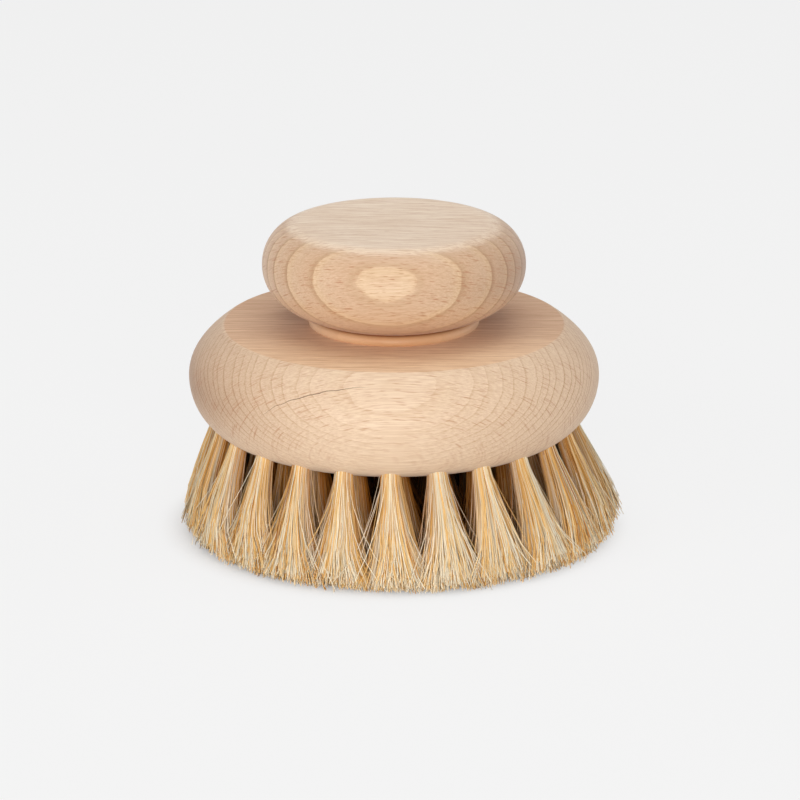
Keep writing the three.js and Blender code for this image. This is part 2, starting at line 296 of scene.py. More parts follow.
def beech(
    name, tilt, yaw, centre, pith, face, years, stops, top, flat, roughness, lines, fibre, rays, specks, ends,
    crease=None, check=None,
):
    """Sanded, unvarnished beech: growth rings, fine fibre lines, and dark flecks where rays come out.

    Lengths are millimetres. tilt and yaw, in degrees, turn the rings: at tilt 0 they face the front, at 90
    the top. The pith lies pith behind centre, and face is how far in front of centre the outermost wood lies.
    years are the depths behind that face at which each year's growth ends; stops colour one year from its
    start to its end. top is painted light and shade on a flat top: two places from front to back, each with
    its colour. flat is how level, as the upward part of its normal, the wood is where that painted light
    starts and is full.
    lines and fibre are how dark a year's line is on the end grain and how dark the fibre lines are.
    rays and specks are large and small flecks: cell along the grain, across it and towards the pith, and
    strength. ends are how much darker the end grain is on the left and on the right, partly the wood and
    partly painted side shade.
    crease, if there is one, is a range of heights, the stops of painted shade over it, the painted colours
    of the foot below it on the face and on the end grain, and the height of the foot's top.
    check, if there is one, is a drying crack: its place along a ring, its ends along the grain, its width.
    """
    material = bpy.data.materials.new(name)
    material.use_nodes = True
    tree = material.node_tree
    tree.nodes.clear()
    coords = add(tree, "ShaderNodeTexCoord")
    moved = add(tree, "ShaderNodeMapping", {
        "Vector": coords.outputs["Object"],
        "Location": tuple(-c for c in centre),
        "Scale": (1 / MM, 1 / MM, 1 / MM),
    })
    # Here x runs with the grain, y along a ring and z out from the pith
    grain = add(tree, "ShaderNodeMapping", {
        "Vector": moved,
        "Rotation": (math.radians(tilt - 90), math.radians(yaw), 0),
    })
    # End grain faces along x, and shows the rings more clearly than the flat of the board does
    surface = add(tree, "ShaderNodeNewGeometry")
    facing = add(tree, "ShaderNodeSeparateXYZ", {"Vector": surface.outputs["Normal"]})
    sideways = add(tree, "ShaderNodeMath", {0: facing.outputs["X"]}, operation="ABSOLUTE")
    end_grain = add(tree, "ShaderNodeMath", {0: sideways, 1: 1.6}, operation="POWER")
    upwards = add(tree, "ShaderNodeMapRange", {
        "Value": facing.outputs["Z"], "From Min": flat[0], "From Max": flat[1], "To Max": 0.85,
    }, interpolation_type="SMOOTHSTEP")

    # Growth rings
    across = add(tree, "ShaderNodeMapping", {"Vector": grain, "Location": (0, 0, pith), "Scale": (0, 1, 1)})
    distance = add(tree, "ShaderNodeVectorMath", {0: across}, operation="LENGTH")
    long_grain = add(tree, "ShaderNodeMapping", {"Vector": grain, "Scale": (0.3, 1, 1)})
    wander = add(tree, "ShaderNodeTexNoise", {
        "Vector": long_grain, "Scale": 0.09, "Detail": 3.0, "Roughness": 0.6,
    })
    wander_most = 1.6
    wavy = add(tree, "ShaderNodeMath", {
        0: wander.outputs[0], 1: -wander_most, 2: distance,
    }, operation="MULTIPLY_ADD")
    span = years[-1] - years[0]
    face_distance = pith + face
    share = add(tree, "ShaderNodeMapRange", {
        "Value": wavy,
        "From Min": face_distance - years[0] - wander_most / 2,
        "From Max": face_distance - years[-1] - wander_most / 2,
    })
    growth = add(tree, "ShaderNodeFloatCurve", {"Value": share})
    for i, year_end in enumerate(years[1:-1], start=1):
        growth.mapping.curves[0].points.new((year_end - years[0]) / span, i / (len(years) - 1))
    for point in growth.mapping.curves[0].points:
        point.handle_type = "VECTOR"
    growth.mapping.update()
    grown = add(tree, "ShaderNodeMath", {0: growth, 1: len(years) - 1.0}, operation="MULTIPLY")
    season = add(tree, "ShaderNodeMath", {0: grown}, operation="FRACT")
    wood = add(tree, "ShaderNodeValToRGB", {"Fac": season})
    blend_stops(wood, stops)
    year_line = add(tree, "ShaderNodeMapRange", {
        "Value": season, "From Min": 0.0, "From Max": 0.22, "To Min": 1.0, "To Max": 0.0,
    }, interpolation_type="SMOOTHSTEP")
    line_depth = add(tree, "ShaderNodeMapRange", {
        "Value": end_grain, "To Min": 0.06 * lines, "To Max": lines,
    })
    line_mark = add(tree, "ShaderNodeMath", {0: year_line, 1: line_depth}, operation="MULTIPLY")

    # A flat top gets its own tone, which changes a little across the grain: painted light and shade, laid
    # over most of the rings there
    place = add(tree, "ShaderNodeSeparateXYZ", {"Vector": moved})
    backwards = add(tree, "ShaderNodeMapRange", {
        "Value": place.outputs["Y"], "From Min": top[0][0], "From Max": top[1][0],
    }, interpolation_type="SMOOTHSTEP")
    painted_top_light = add(tree, "ShaderNodeMix", {
        "Factor": backwards, "A": linear(top[0][1]), "B": linear(top[1][1]),
    }, data_type="RGBA")
    middle = add(tree, "ShaderNodeMix", {
        "Factor": upwards, "A": wood.outputs["Color"], "B": painted_top_light.outputs[2],
    }, data_type="RGBA")

    # Fibre lines, clearest on the flat top; real ones are finer than a tenth of a millimetre and wouldn't
    # show, so they are drawn about 0.35 mm wide and 17 mm long
    fibres_per_mm = (0.06, 2.9, 2.9)
    fibre_space = add(tree, "ShaderNodeMapping", {"Vector": grain, "Scale": fibres_per_mm})
    fibres = add(tree, "ShaderNodeTexNoise", {
        "Vector": fibre_space, "Scale": 1.0, "Detail": 4.0, "Roughness": 0.65,
    })
    fibre_line = add(tree, "ShaderNodeMapRange", {
        "Value": fibres.outputs[0],
        "From Min": 0.36,
        "From Max": 0.68,
        "To Min": -0.7 * fibre,
        "To Max": fibre,
    })
    fibre_depth = add(tree, "ShaderNodeMapRange", {"Value": upwards, "To Min": 0.8, "To Max": 2.0})
    fibre_mark = add(tree, "ShaderNodeMath", {0: fibre_line, 1: fibre_depth}, operation="MULTIPLY")

    # Ray flecks: thin ribbons that run out from the pith, dashes on the face and lines on the end grain
    ray_space = add(tree, "ShaderNodeMapping", {"Vector": grain, "Scale": tuple(1 / r for r in rays[:3])})
    ray_cells = add(tree, "ShaderNodeTexVoronoi", {"Vector": ray_space, "Scale": 1.0, "Randomness": 1.0})
    ray_pick = add(tree, "ShaderNodeSeparateColor", {"Color": ray_cells.outputs["Color"]})
    ray_size = add(tree, "ShaderNodeMapRange", {
        "Value": ray_pick.outputs["Red"], "From Min": 0.3, "From Max": 1.0, "To Min": 0.04, "To Max": 0.36,
    })
    ray_shape = add(tree, "ShaderNodeMath", {
        0: ray_size, 1: ray_cells.outputs["Distance"],
    }, operation="SUBTRACT")
    ray_depth = add(tree, "ShaderNodeMapRange", {
        "Value": ray_pick.outputs["Green"], "To Min": 0.3 * rays[3], "To Max": rays[3],
    })
    # Where the surface cuts along the rays they are wide and pale, so their marks fade there
    ring_way = (0.0, -math.sin(math.radians(tilt)), -math.cos(math.radians(tilt)))
    turned_way = add(tree, "ShaderNodeVectorMath", {
        0: surface.outputs["Normal"], 1: ring_way,
    }, operation="DOT_PRODUCT")
    flatness = add(tree, "ShaderNodeMath", {0: turned_way.outputs["Value"]}, operation="ABSOLUTE")
    ray_left = add(tree, "ShaderNodeMapRange", {
        "Value": flatness, "From Min": 0.7, "From Max": 0.97, "To Min": 1.0, "To Max": 0.4,
    })
    ray_most = add(tree, "ShaderNodeMath", {0: ray_depth, 1: ray_left}, operation="MULTIPLY")
    ray_spot = add(tree, "ShaderNodeMapRange", {
        "Value": ray_shape, "From Min": 0.0, "From Max": 0.16, "To Min": 0.0, "To Max": ray_most,
    })
    # Smaller flecks and pores, closer together
    speck_most = add(tree, "ShaderNodeMath", {0: specks[3], 1: ray_left}, operation="MULTIPLY")
    speck_space = add(tree, "ShaderNodeMapping", {
        "Vector": grain, "Scale": tuple(0.5 / s for s in specks[:3]),
    })
    speck_noise = add(tree, "ShaderNodeTexNoise", {"Vector": speck_space, "Scale": 1.0, "Detail": 1.0})
    speck_spot = add(tree, "ShaderNodeMapRange", {
        "Value": speck_noise.outputs[0],
        "From Min": 0.58,
        "From Max": 0.76,
        "To Min": 0.0,
        "To Max": speck_most,
    })
    spots = add(tree, "ShaderNodeMath", {0: ray_spot, 1: speck_spot}, operation="MAXIMUM")
    spot_depth = add(tree, "ShaderNodeMapRange", {"Value": upwards, "To Min": 1.0, "To Max": 0.45})
    spot_mark = add(tree, "ShaderNodeMath", {0: spots, 1: spot_depth}, operation="MULTIPLY")

    # Slow drift of tone over some centimetres
    drift = add(tree, "ShaderNodeTexNoise", {"Vector": long_grain, "Scale": 0.06, "Detail": 2.0})
    drift_mark = add(tree, "ShaderNodeMapRange", {
        "Value": drift.outputs[0], "From Min": 0.3, "From Max": 0.7, "To Min": -0.05, "To Max": 0.05,
    })
    marks = add(tree, "ShaderNodeMath", {0: line_mark, 1: fibre_mark}, operation="ADD")
    all_marks = add(tree, "ShaderNodeMath", {0: marks, 1: drift_mark}, operation="ADD")
    # Darker wood is also redder
    brightness = add(tree, "ShaderNodeVectorMath", {
        0: all_marks, 1: (-0.65, -1.0, -1.3), 2: (1.0, 1.0, 1.0),
    }, operation="MULTIPLY_ADD")
    marked = add(tree, "ShaderNodeVectorMath", {0: middle.outputs[2], 1: brightness}, operation="MULTIPLY")
    # End grain takes light in and looks darker; how much more on one end than on the other is partly the wood
    # and partly painted side shade, and painted floor light makes it less dark towards the underside
    end_darkness_and_side_shade = add(tree, "ShaderNodeMapRange", {
        "Value": facing.outputs["X"],
        "From Min": -1.0,
        "From Max": 1.0,
        "To Min": ends[0],
        "To Max": ends[1],
    })
    underside_painted_light = add(tree, "ShaderNodeMapRange", {
        "Value": facing.outputs["Z"], "From Min": -0.75, "From Max": 0.0, "To Min": 0.4, "To Max": 1.0,
    })
    end_most = add(tree, "ShaderNodeMath", {0: end_darkness_and_side_shade, 1: underside_painted_light}, operation="MULTIPLY")
    end_mark = add(tree, "ShaderNodeMath", {0: end_grain, 1: end_most}, operation="MULTIPLY")
    end_shade = add(tree, "ShaderNodeVectorMath", {
        0: end_mark, 1: (-0.82, -1.0, -1.12), 2: (1.0, 1.0, 1.0),
    }, operation="MULTIPLY_ADD")
    shaded = add(tree, "ShaderNodeVectorMath", {0: marked, 1: end_shade}, operation="MULTIPLY")
    colour = add(tree, "ShaderNodeMix", {
        "Factor": spot_mark, "A": shaded, "B": linear("#A9560F"),
    }, data_type="RGBA").outputs[2]
    # Below a turned crease the wood is painted one even tone, warm bounced light, paler at its ends; the
    # crease itself is darkened with painted shade
    if crease:
        low, high, crease_shade_stops, foot_tone, foot_end, foot_top = crease
        foot_edge = 0.5
        painted_foot_light = add(tree, "ShaderNodeMix", {
            "Factor": end_grain, "A": linear(foot_tone), "B": linear(foot_end),
        }, data_type="RGBA").outputs[2]
        in_foot = add(tree, "ShaderNodeMapRange", {
            "Value": place.outputs["Z"],
            "From Min": foot_top,
            "From Max": foot_top + foot_edge,
            "To Min": 0.85,
            "To Max": 0.0,
        })
        colour = add(tree, "ShaderNodeMix", {
            "Factor": in_foot, "A": colour, "B": painted_foot_light,
        }, data_type="RGBA").outputs[2]
        height = add(tree, "ShaderNodeMapRange", {
            "Value": place.outputs["Z"], "From Min": low, "From Max": high,
        })
        crease_shade = add(tree, "ShaderNodeValToRGB", {"Fac": height})
        blend_stops(crease_shade, crease_shade_stops)
        colour = add(tree, "ShaderNodeVectorMath", {
            0: colour, 1: crease_shade.outputs["Color"],
        }, operation="MULTIPLY")

    # A hairline drying crack follows the rays, wanders a little, and is widest near its middle
    if check:
        crack_place, crack_start, crack_end, crack_width = check
        crack_wander = 0.9
        split = add(tree, "ShaderNodeSeparateXYZ", {"Vector": grain})
        jitter = add(tree, "ShaderNodeTexNoise", {"Vector": grain, "Scale": 0.35, "Detail": 2.0})
        bent = add(tree, "ShaderNodeMath", {
            0: jitter.outputs[0], 1: crack_wander, 2: split.outputs["Y"],
        }, operation="MULTIPLY_ADD")
        aside = add(tree, "ShaderNodeMath", {
            0: bent, 1: crack_place + crack_wander / 2,
        }, operation="SUBTRACT")
        away = add(tree, "ShaderNodeMath", {0: aside}, operation="ABSOLUTE")
        from_middle = add(tree, "ShaderNodeMath", {
            0: split.outputs["X"], 1: (crack_start + crack_end) / 2,
        }, operation="SUBTRACT")
        along = add(tree, "ShaderNodeMath", {0: from_middle}, operation="ABSOLUTE")
        half = (crack_end - crack_start) / 2
        width = add(tree, "ShaderNodeMapRange", {
            "Value": along, "From Min": 0.2 * half, "From Max": half, "To Min": crack_width, "To Max": 0.0,
        })
        gap = add(tree, "ShaderNodeMath", {0: away, 1: width}, operation="LESS_THAN")
        gap_mark = add(tree, "ShaderNodeMath", {0: gap, 1: 0.75}, operation="MULTIPLY")
        colour = add(tree, "ShaderNodeMix", {
            "Factor": gap_mark, "A": colour, "B": linear("#744728"),
        }, data_type="RGBA").outputs[2]

    # Fibres stand up a little and flecks lie deeper, which also breaks up the sanded surface's dull shine
    relief = add(tree, "ShaderNodeMath", {
        0: spot_mark, 1: -0.6, 2: fibres.outputs[0],
    }, operation="MULTIPLY_ADD")
    bump = add(tree, "ShaderNodeBump", {"Height": relief, "Strength": 0.3, "Distance": 0.06 * MM})
    uneven = 0.06
    dull_shine = add(tree, "ShaderNodeMapRange", {
        "Value": fibres.outputs[0],
        "From Min": 0.3,
        "From Max": 0.7,
        "To Min": roughness - uneven,
        "To Max": roughness + uneven,
    })
    skin = add(tree, "ShaderNodeBsdfPrincipled", {
        "Base Color": colour,
        "Roughness": dull_shine,
        "Normal": bump,
        "IOR": 1.5,
        "Sheen Weight": 0.13,
        "Sheen Roughness": 0.5,
    })
    add(tree, "ShaderNodeOutputMaterial", {"Surface": skin})
    return material


def year_ends(first, last, narrow, wide, seed):
    """Depths at which years of growth end, the listed first ones and then seeded random ones."""
    draw = random.Random(seed)
    depths = list(first)
    while depths[-1] < last:
        depths.append(depths[-1] + draw.uniform(narrow, wide))
    return depths


block_beech = beech(
    "sanded beech of the block",
    tilt=58,
    yaw=0,
    centre=(0, 0, 40),
    pith=140,
    face=52,
    years=year_ends([-3], last=110, narrow=1.0, wide=2.2, seed=5),
    stops=[(0.0, "#E6C7A7"), (0.3, "#E7C9A9"), (0.6, "#E8CAAB"), (0.9, "#E9CBAC"), (1.0, "#E9CCAD")],
    # Painted light on the block's top: lighter at the front, where the front lamp falls, and darker with
    # painted shade towards the middle, where the knob shades it
    top=((-36, "#EEC59B"), (0, "#D7AB85")),
    flat=(0.92, 0.985),
    roughness=0.62,
    lines=0.58,
    fibre=0.2,
    rays=(5.5, 0.4, 6.5, 0.56),
    specks=(2.0, 0.17, 4, 0.46),
    # The left end grain is darker, partly with painted side shade
    ends=(0.53, 0.03),
    check=(-33.6, -33.5, -5.5, 0.15),
)
block.data.materials.clear()
block.data.materials.append(block_beech)
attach(block, "root")
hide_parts("brush_block")

# The dowel is a plain beech pin, glued half in the block and half in the knob, and hidden in both.
# It is cut from straight-grained rod, so its grain stands upright.
dowel_beech = beech(
    "plain beech rod of the dowel",
    tilt=0,
    yaw=90,
    centre=(0, 0, 54),
    pith=90,
    face=8,
    years=year_ends([-4], last=24, narrow=1.6, wide=2.6, seed=6),
    stops=[(0.0, "#DDB98F"), (0.5, "#E3C49C"), (1.0, "#E8CBA6")],
    top=((-6, "#E0C09A"), (6, "#E0C09A")),
    flat=(0.7, 1.0),
    roughness=0.6,
    lines=0.2,
    fibre=0.08,
    rays=(3.0, 0.5, 14, 0.4),
    specks=(1.6, 0.17, 5, 0.3),
    ends=(0.16, 0.16),
)
dowel = bpy.data.objects["knob_dowel"]
dowel.data.materials.clear()
dowel.data.materials.append(dowel_beech)

# The knob is a flattened ball of beech for the palm, turned in one piece with its low foot.
# Wide growth rings face the front and the crown, so they show as nested ovals there.
knob_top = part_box("knob")[1][2]
knob_bottom = block_top
knob_radius = 33.6 * MM
knob_top_radius = 23.5 * MM
knob_widest = knob_top - 10.6 * MM
belly_bulge = 9.4 * MM
neck_radius = 20.6 * MM
foot_radius = 21.85 * MM
foot_height = 2.6 * MM
foot_bulge = 0.25 * MM
foot_bulge_height = 1.8 * MM
foot_crease = 0.15 * MM
knob_profile = [(0, knob_bottom), (12 * MM, knob_bottom), (foot_radius - 2 * foot_crease, knob_bottom)]
knob_profile += bent_line(
    (foot_radius - foot_crease, knob_bottom + foot_crease),
    (foot_radius + foot_bulge, knob_bottom + foot_bulge_height),
    (neck_radius, knob_bottom + foot_height),
    steps=8,
)
knob_profile += bent_line(
    (neck_radius, knob_bottom + foot_height),
    (knob_radius, knob_widest - belly_bulge),
    (knob_radius, knob_widest),
    steps=26,
)[1:]
knob_profile += quarter_ellipse(
    (knob_top_radius, knob_widest),
    across=knob_radius - knob_top_radius,
    up=knob_top - knob_widest,
    start=0,
    end=90,
    steps=22,
)[1:]
knob_profile += [(16 * MM, knob_top), (8 * MM, knob_top), (0, knob_top)]
knob = turned("turned_knob", knob_profile, round_faces)
soft_edges(knob, degrees=40)
knob_beech = beech(
    "sanded beech of the knob",
    tilt=24,
    yaw=3.2,
    centre=(0, 0, 69.8),
    pith=120,
    face=31.65,
    years=year_ends([-4.1, 0.42, 5.1, 11.2, 16.1, 20.1, 24.5], last=68, narrow=3.9, wide=5.6, seed=3),
    stops=[
        (0.0, "#D9B591"), (0.04, "#D1AC88"), (0.25, "#D7B290"), (0.72, "#DCB997"),
        (0.86, "#E0BE99"), (0.97, "#E1BF99"), (1.0, "#DBB892"),
    ],
    # The knob's flat top is painted pale with a painted sheen
    top=((-24, "#F9DFC3"), (24, "#F9DFC3")),
    flat=(0.86, 0.985),
    roughness=0.45,
    lines=0.44,
    fibre=0.19,
    rays=(2.9, 0.42, 14, 0.64),
    specks=(1.3, 0.16, 5, 0.6),
    # The right end grain is darker, partly with painted side shade
    ends=(0.06, 0.42),
    # Painted shade in the crease under the belly, and painted warm bounce light on the foot
    crease=(
        -16,
        -9,
        [(0.0, "#FFF0DE"), (0.33, "#FBEAD6"), (0.41, "#B27B53"), (0.52, "#E2CEB9"), (1.0, "#FFFFFF")],
        "#D5AC84",
        "#F3DBC1",
        -12.8,
    ),
)
knob.data.materials.append(knob_beech)
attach(knob, "root")
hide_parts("knob")

# Each anchor is a short strip of tinned flat wire, driven into a hole's end with the fold of its tuft.
# They are hidden in the wood, and keep the shape that they have in the solid model.
# Drawing leaves fine scratches along the wire, so its silver shine is dull and streaked.
tinned_wire = bpy.data.materials.new("tinned flat wire")
tinned_wire.use_nodes = True
tree = tinned_wire.node_tree
tree.nodes.clear()
coords = add(tree, "ShaderNodeTexCoord")
scratches_per_mm = (3, 3, 0.4)
drawn = add(tree, "ShaderNodeMapping", {
    "Vector": coords.outputs["Object"], "Scale": tuple(s / MM for s in scratches_per_mm),
})
scratches = add(tree, "ShaderNodeTexNoise", {"Vector": drawn, "Scale": 1.0, "Detail": 2.0})
wire_gloss = add(tree, "ShaderNodeMapRange", {"Value": scratches.outputs[0], "To Min": 0.28, "To Max": 0.5})
wire_skin = add(tree, "ShaderNodeBsdfPrincipled", {
    "Base Color": linear("#C4C1B8"), "Metallic": 1.0, "Roughness": wire_gloss,
})
add(tree, "ShaderNodeOutputMaterial", {"Surface": wire_skin})
for ring_name, ring in zip(("outer", "second"), rings):
    for i in range(ring[0]):
        anchor = bpy.data.objects[f"{ring_name}_anchor_{i + 1:02d}"]
        anchor.data.materials.clear()
        anchor.data.materials.append(tinned_wire)

# The tufts are blond horsehair, cut to length, folded in half and pinned into the holes.
# The hairs leave a hole as one tight bundle, then fan out and lean away from the brush's axis.
# The tips are trimmed level and stand on the ground.
horsehair = bpy.data.materials.new("blond horsehair")
horsehair.use_nodes = True
tree = horsehair.node_tree
tree.nodes.clear()
# Undyed hair runs from golden brown to cream; each hair has its own tone, and locks of hair share one
tone = add(tree, "ShaderNodeAttribute", attribute_name="tone")
hair_colour = add(tree, "ShaderNodeValToRGB", {"Fac": tone.outputs["Fac"]})
blend_stops(hair_colour, [
    (0.0, "#9C5014"), (0.25, "#DC9845"), (0.5, "#F9C475"), (0.75, "#FFDB9D"), (1.0, "#FFF3D8"),
])
# Painted shade: inside a tuft, where light has come through other hair, the hair is painted golden brown,
# and in the middle of the brush it is painted dark
shade = add(tree, "ShaderNodeAttribute", attribute_name="shade")
dimness = add(tree, "ShaderNodeMapRange", {
    "Value": shade.outputs["Fac"], "From Min": 1.0, "From Max": 2.0,
})
painted_hair_shade = add(tree, "ShaderNodeMix", {
    "Factor": dimness, "A": linear("#B0691B"), "B": linear("#43200D"),
}, data_type="RGBA")
hair_with_painted_shade = add(tree, "ShaderNodeMix", {
    "Factor": shade.outputs["Fac"], "A": hair_colour.outputs["Color"], "B": painted_hair_shade.outputs[2],
}, data_type="RGBA")
# Smooth hair glints, and the glint is golden where light has passed through the hair
hair_skin = add(tree, "ShaderNodeBsdfPrincipled", {
    "Base Color": hair_with_painted_shade.outputs[2],
    "Roughness": 0.34,
    "IOR": 1.55,
    "Specular IOR Level": 0.36,
    "Specular Tint": linear("#FFD9A6"),
    "Sheen Weight": 0.24,
    "Sheen Roughness": 0.45,
    "Sheen Tint": linear("#FFE3B8"),
})
add(tree, "ShaderNodeOutputMaterial", {"Surface": hair_skin})

hairs, given, made = shape_tree("Horsehair tufts", [
    ("Tufts", "NodeSocketInt", 6),
    ("First tuft", "NodeSocketInt", 0),
    ("Tufts in ring", "NodeSocketInt", 24),
    ("Hairs", "NodeSocketInt", 300),
    ("Points", "NodeSocketInt", 6),
    ("Ring radius", "NodeSocketFloat", 0.046),
    ("Mouth height", "NodeSocketFloat", 0.026),
    ("Splay slope", "NodeSocketFloat", 0.2),
    ("First turn", "NodeSocketFloat", 0.0),
    ("Root radius", "NodeSocketFloat", 0.0021),
    ("Root depth", "NodeSocketFloat", 0.004),
    ("Fan out", "NodeSocketFloat", 0.003),
    ("Fan along", "NodeSocketFloat", 0.005),
    ("Stray", "NodeSocketFloat", 0.005),
    ("Bow", "NodeSocketFloat", 0.0),
    ("Curl", "NodeSocketFloat", 0.002),
    ("Wave", "NodeSocketFloat", 0.002),
    ("Tip unevenness", "NodeSocketFloat", 0.002),
    ("Tip rounding", "NodeSocketFloat", 0.0),
    ("Comb", "NodeSocketVector", (0.0, 0.0, 0.0)),
    ("Hair radius", "NodeSocketFloat", 0.000075),
    ("Shade", "NodeSocketFloat", 0.0),
    ("Inner shade", "NodeSocketFloat", 0.5),
    ("Seed", "NodeSocketInt", 0),
    ("Material", "NodeSocketMaterial", None),
])

# Each point of a hair has a number, which gives its hair, its place along the hair and its tuft
number = add(hairs, "GeometryNodeInputIndex")
number_inside = add(hairs, "ShaderNodeMath", {0: number, 1: 0.5}, operation="ADD")
hair_part = add(hairs, "ShaderNodeMath", {0: number_inside, 1: given.outputs["Points"]}, operation="DIVIDE")
hair = add(hairs, "ShaderNodeMath", {0: hair_part}, operation="FLOOR")
first_number = add(hairs, "ShaderNodeMath", {0: hair, 1: given.outputs["Points"]}, operation="MULTIPLY")
step = add(hairs, "ShaderNodeMath", {0: number, 1: first_number}, operation="SUBTRACT")
last_step = add(hairs, "ShaderNodeMath", {0: given.outputs["Points"], 1: 1.0}, operation="SUBTRACT")
along = add(hairs, "ShaderNodeMath", {0: step, 1: last_step}, operation="DIVIDE")
along_squared = add(hairs, "ShaderNodeMath", {0: along, 1: 2.0}, operation="POWER")
hair_inside_tuft = add(hairs, "ShaderNodeMath", {0: hair, 1: 0.5}, operation="ADD")
tuft_part = add(hairs, "ShaderNodeMath", {0: hair_inside_tuft, 1: given.outputs["Hairs"]}, operation="DIVIDE")
tuft_here = add(hairs, "ShaderNodeMath", {0: tuft_part}, operation="FLOOR")
tuft = add(hairs, "ShaderNodeMath", {0: tuft_here, 1: given.outputs["First tuft"]}, operation="ADD")
pitch = add(hairs, "ShaderNodeMath", {0: 2 * math.pi, 1: given.outputs["Tufts in ring"]}, operation="DIVIDE")
turn = add(hairs, "ShaderNodeMath", {
    0: tuft, 1: pitch, 2: given.outputs["First turn"],
}, operation="MULTIPLY_ADD")

# What differs by chance: its name, whether it is drawn for each hair or each tuft,
# its lowest and highest value, and a seed of its own
chance = {}
for draw_name, counter, lowest, highest, own_seed in (
    ("place round the bundle", hair, 0.0, 2 * math.pi, 1),
    ("place from its middle", hair, 0.0, 1.0, 2),
    ("loose outward", hair, -0.16, 0.16, 3),
    ("loose sideways", hair, -0.2, 0.2, 4),
    ("tuft outward", tuft, -0.6 * MM, 0.6 * MM, 5),
    ("tuft sideways", tuft, -1.0 * MM, 1.0 * MM, 6),
    ("shortness", hair, 0.0, 1.0, 7),
    ("bend", hair, 1.3, 2.2, 8),
    ("hair tone", hair, -0.42, 0.42, 9),
    ("tuft tone", tuft, 0.66, 0.82, 10),
    ("stray", hair, 0.0, 1.0, 11),
    ("stray side", hair, -1.0, 1.0, 12),
    ("curl sideways", hair, -1.0, 1.0, 13),
    ("curl outward", hair, -0.6, 0.6, 14),
    ("shade", hair, 0.75, 1.25, 15),
):
    draw_seed = add(hairs, "ShaderNodeMath", {0: given.outputs["Seed"], 1: own_seed}, operation="ADD")
    chance[draw_name] = add(hairs, "FunctionNodeRandomValue", {
        "ID": counter, "Min": lowest, "Max": highest, "Seed": draw_seed,
    })

# Place of the hair in its round bundle, from -1 to 1 across the ring and along it
reach = add(hairs, "ShaderNodeMath", {0: chance["place from its middle"]}, operation="SQRT")
spin_out = add(hairs, "ShaderNodeMath", {0: chance["place round the bundle"]}, operation="COSINE")
spin_side = add(hairs, "ShaderNodeMath", {0: chance["place round the bundle"]}, operation="SINE")
out_place = add(hairs, "ShaderNodeMath", {0: reach, 1: spin_out}, operation="MULTIPLY")
side_place = add(hairs, "ShaderNodeMath", {0: reach, 1: spin_side}, operation="MULTIPLY")

# Locks: neighbours in the bundle lean the same way and share a tone; no two tufts have the same locks
tuft_apart = add(hairs, "ShaderNodeMath", {0: tuft, 1: 7.3}, operation="MULTIPLY")
lock_space = add(hairs, "ShaderNodeCombineXYZ", {"X": out_place, "Y": side_place, "Z": tuft_apart})
noise_middle = (0.5, 0.5, 0.5)
locks = add(hairs, "ShaderNodeTexNoise", {"Vector": lock_space, "Scale": 1.9, "Detail": 2.0})
lock_lean = add(hairs, "ShaderNodeVectorMath", {
    0: locks.outputs["Color"], 1: noise_middle,
}, operation="SUBTRACT")
lock = add(hairs, "ShaderNodeSeparateXYZ", {"Vector": lock_lean})
# Finer strands of a few hairs differ in tone, and some of them are darkened with painted shade, as if they
# lay deeper than others
strands = add(hairs, "ShaderNodeTexNoise", {"Vector": lock_space, "Scale": 6.5, "Detail": 1.0})
strand_drift = add(hairs, "ShaderNodeVectorMath", {
    0: strands.outputs["Color"], 1: noise_middle,
}, operation="SUBTRACT")
strand = add(hairs, "ShaderNodeSeparateXYZ", {"Vector": strand_drift})
out_loose = add(hairs, "ShaderNodeMath", {
    0: lock.outputs["X"], 1: 1.5, 2: chance["loose outward"],
}, operation="MULTIPLY_ADD")
side_loose = add(hairs, "ShaderNodeMath", {
    0: lock.outputs["Y"], 1: 1.8, 2: chance["loose sideways"],
}, operation="MULTIPLY_ADD")
out_share = add(hairs, "ShaderNodeMath", {0: out_place, 1: out_loose}, operation="ADD")
out_move = add(hairs, "ShaderNodeMath", {
    0: out_share, 1: given.outputs["Fan out"], 2: chance["tuft outward"],
}, operation="MULTIPLY_ADD")
side_share = add(hairs, "ShaderNodeMath", {0: side_place, 1: side_loose}, operation="ADD")
side_move = add(hairs, "ShaderNodeMath", {
    0: side_share, 1: given.outputs["Fan along"], 2: chance["tuft sideways"],
}, operation="MULTIPLY_ADD")
# Some hairs stray sideways out of their tuft, each by its own share of the most
stray_part = 0.12
stray_over = add(hairs, "ShaderNodeMath", {0: chance["stray"], 1: 1 - stray_part}, operation="SUBTRACT")
stray_size = add(hairs, "ShaderNodeMath", {0: stray_over, 1: stray_part}, operation="DIVIDE")
stray_share = add(hairs, "ShaderNodeMath", {0: stray_size, 1: 0.0}, operation="MAXIMUM")
stray = add(hairs, "ShaderNodeMath", {0: stray_share, 1: given.outputs["Stray"]}, operation="MULTIPLY")
side_all = add(hairs, "ShaderNodeMath", {
    0: stray, 1: chance["stray side"], 2: side_move,
}, operation="MULTIPLY_ADD")
front_move = add(hairs, "ShaderNodeMath", {0: out_move, 1: -1.0}, operation="MULTIPLY")
fan = add(hairs, "ShaderNodeCombineXYZ", {"X": side_all, "Y": front_move})

